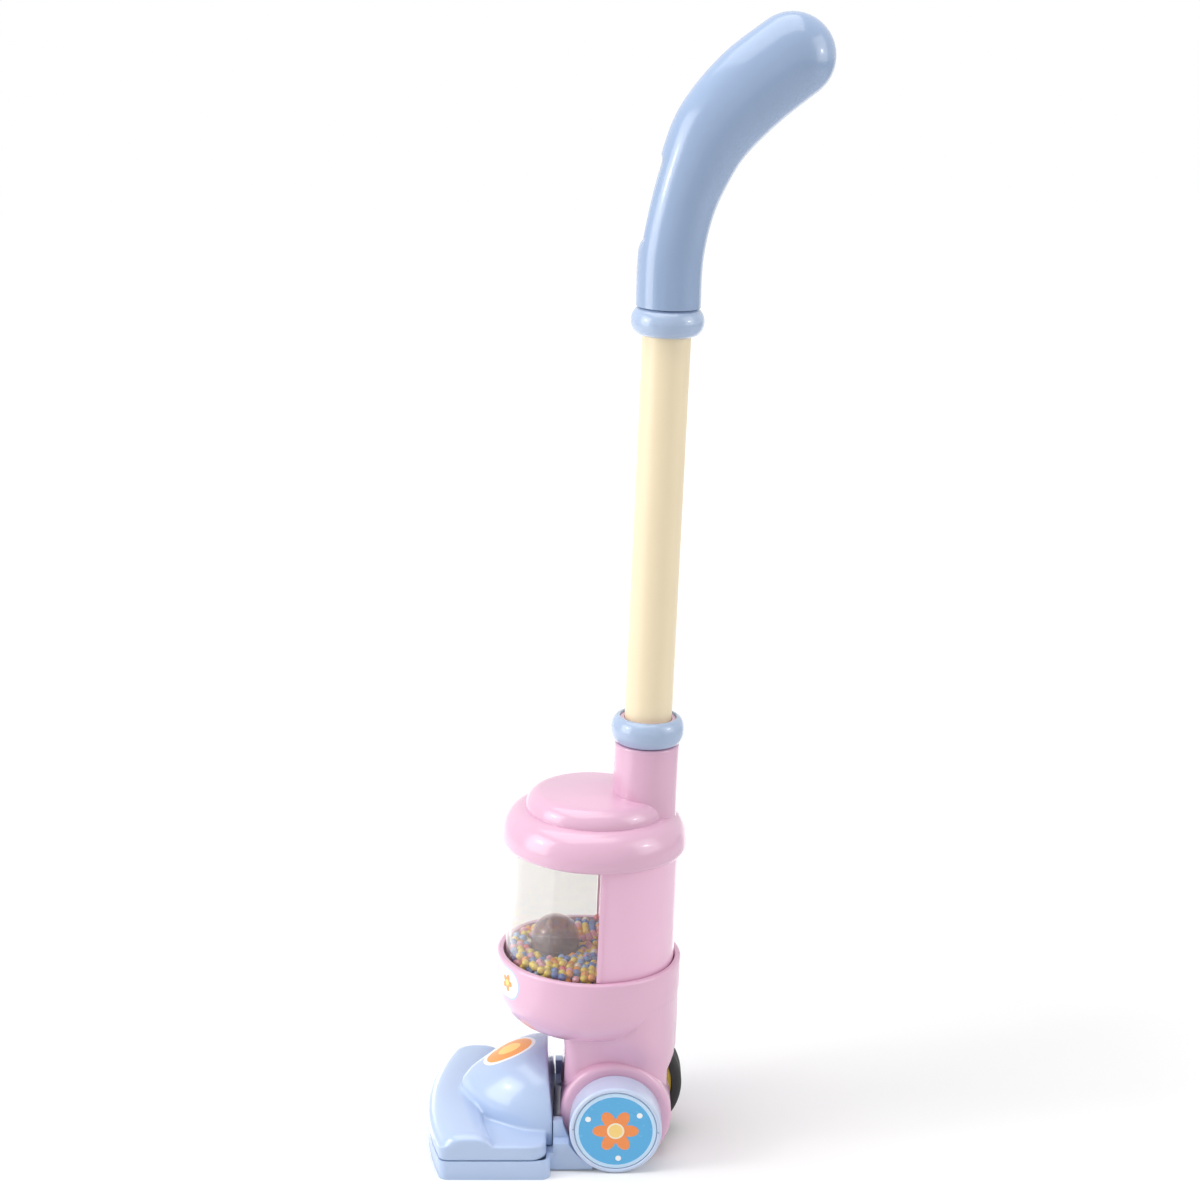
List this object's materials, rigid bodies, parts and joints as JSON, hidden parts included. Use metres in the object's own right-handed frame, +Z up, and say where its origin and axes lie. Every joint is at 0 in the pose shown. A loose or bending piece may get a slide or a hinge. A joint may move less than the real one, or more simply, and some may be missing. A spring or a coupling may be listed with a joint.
{
  "type": "toy vacuum cleaner",
  "caption": "Toy upright vacuum cleaner on wheels, with a tilting handle, a clear bead chamber and a geared stirrer that turns as it is pushed.",
  "frame": {"origin": "on the floor, under the middle of the toy's box", "axes": "+Z up, -Y towards the nozzle, +X to the toy's left, the side of the wheel that the picture shows; the wheels turn about X"},
  "size_m": [0.1152, 0.2064, 0.5904],
  "materials": {
    "sky_blue": "glossy moulded plastic",
    "mid_blue": "printed disc",
    "pink": "glossy moulded plastic",
    "ivory": "satin plastic tube",
    "clear": "clear moulded plastic",
    "smoke": "tinted clear plastic",
    "yellow": "moulded plastic",
    "white": "moulded plastic",
    "beads": "loose coloured beads",
    "rubber": "soft black rubber",
    "steel": "bright steel"
  },
  "bodies": {
    "nozzle_head": {"nozzle_top": "sky_blue", "nozzle_base": "sky_blue", "base_screw_1": "steel", "base_screw_2": "steel", "base_screw_3": "steel", "base_screw_4": "steel"},
    "upright": {"housing_left": "pink", "housing_right": "pink", "housing_screw_1": "steel", "housing_screw_2": "steel", "housing_screw_3": "steel", "housing_screw_4": "steel", "drive_axle": "steel", "idler_pin": "steel", "wheel_pin_left": "steel", "wheel_pin_right": "steel", "chamber_floor": "white", "rear_shell": "pink", "bead_window": "clear", "bead_fill": "beads", "top_cover": "pink", "socket_collar": "sky_blue", "handle_tube": "ivory", "grip_collar": "sky_blue", "grip_left": "sky_blue", "grip_right": "sky_blue", "grip_screw_1": "steel", "grip_screw_2": "steel", "grip_screw_3": "steel"},
    "drive_wheel": {"drive_hub": "yellow", "drive_tyre": "rubber"},
    "layshaft_set": {"layshaft": "steel", "layshaft_gear": "white", "layshaft_pinion": "white"},
    "idler": {"idler_gear": "white"},
    "stirrer": {"stirrer_gear": "yellow", "stirrer_shaft": "steel", "stirrer_hub": "smoke", "stirrer_dome": "smoke"},
    "left_wheel": {"side_wheel_left": "sky_blue", "wheel_disc_left": "mid_blue"},
    "right_wheel": {"side_wheel_right": "sky_blue", "wheel_disc_right": "mid_blue"}
  },
  "joints": [
    {"name": "handle_tilt", "type": "hinge", "parent": "nozzle_head", "child": "upright", "pos_m": [0, 0.00133, 0.031], "axis": [-1, 0, 0], "range_deg": [0, 50]},
    {"name": "drive_spin", "type": "hinge", "parent": "upright", "child": "drive_wheel", "pos_m": [0, 0.00133, 0.031], "axis": [1, 0, 0], "continuous": true},
    {"name": "layshaft_spin", "type": "hinge", "parent": "upright", "child": "layshaft_set", "pos_m": [0.01549, 0.00321, 0.07596], "axis": [0, 0.0419, 0.9991], "continuous": true},
    {"name": "idler_spin", "type": "hinge", "parent": "upright", "child": "idler", "pos_m": [0.0082, -0.01508, 0.08423], "axis": [0, 0.0419, 0.9991], "continuous": true},
    {"name": "stirrer_spin", "type": "hinge", "parent": "upright", "child": "stirrer", "pos_m": [0, -0.0357, 0.09261], "axis": [0, 0.0419, 0.9991], "continuous": true},
    {"name": "left_wheel_spin", "type": "hinge", "parent": "upright", "child": "left_wheel", "pos_m": [0.0425, -0.00306, 0.02428], "axis": [1, 0, 0], "continuous": true},
    {"name": "right_wheel_spin", "type": "hinge", "parent": "upright", "child": "right_wheel", "pos_m": [-0.0425, -0.00306, 0.02428], "axis": [1, 0, 0], "continuous": true}
  ],
  "couplings": [
    {"joint": "layshaft_spin", "follows": "drive_spin", "ratio": 3.2},
    {"joint": "idler_spin", "follows": "drive_spin", "ratio": -5.3333},
    {"joint": "stirrer_spin", "follows": "drive_spin", "ratio": 2.6667}
  ]
}
